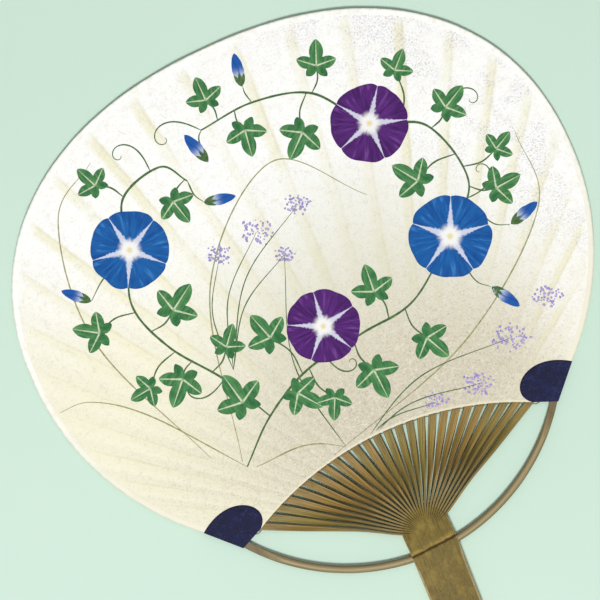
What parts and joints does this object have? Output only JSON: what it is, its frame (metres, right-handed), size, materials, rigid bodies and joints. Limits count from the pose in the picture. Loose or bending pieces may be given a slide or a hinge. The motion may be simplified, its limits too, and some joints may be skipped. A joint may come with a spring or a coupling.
{
  "type": "round uchiwa fan",
  "caption": "Round rigid hand fan: flat bamboo handle with radiating split ribs, a bent bow through its node, paper front and back, bound rim and dark corner patches.",
  "frame": {"origin": "point on the flat back of the handle, under the node that the bow passes through, on the head's centre line", "axes": "+Y runs up the fan from the handle to the top of the head, +X to the right seen from the decorated face, +Z out of the decorated face; the fan lies on its back"},
  "size_m": [0.2552, 0.3598, 0.0054],
  "materials": {
    "bamboo_handle": "smoked tan bamboo with fine lengthwise grain, satin",
    "bamboo_ribs": "split bamboo, tan to olive gold, matt split faces",
    "bamboo_bow": "round shaved bamboo rod, pinkish tan, satin",
    "washi_front": null,
    "washi_back": "plain cream long-fibre paper, matt",
    "rim_paper": "cream paper binding strip, matt",
    "navy_paper": "mottled navy paper, matt",
    "thread": "straw-coloured cotton thread"
  },
  "bodies": {
    "root": {"handle": "bamboo_handle", "bow": "bamboo_bow", "rib_01": "bamboo_ribs", "rib_02": "bamboo_ribs", "rib_03": "bamboo_ribs", "rib_04": "bamboo_ribs", "rib_05": "bamboo_ribs", "rib_06": "bamboo_ribs", "rib_07": "bamboo_ribs", "rib_08": "bamboo_ribs", "rib_09": "bamboo_ribs", "rib_10": "bamboo_ribs", "rib_11": "bamboo_ribs", "rib_12": "bamboo_ribs", "rib_13": "bamboo_ribs", "rib_14": "bamboo_ribs", "rib_15": "bamboo_ribs", "rib_16": "bamboo_ribs", "rib_17": "bamboo_ribs", "rib_18": "bamboo_ribs", "rib_19": "bamboo_ribs", "rib_20": "bamboo_ribs", "rib_21": "bamboo_ribs", "rib_22": "bamboo_ribs", "rib_23": "bamboo_ribs", "rib_24": "bamboo_ribs", "rib_25": "bamboo_ribs", "rib_26": "bamboo_ribs", "lacing_thread": "thread", "front_paper": "washi_front", "back_paper": "washi_back", "rim_binding": "rim_paper", "left_ear": "navy_paper", "right_ear": "navy_paper"}
  },
  "joints": []
}
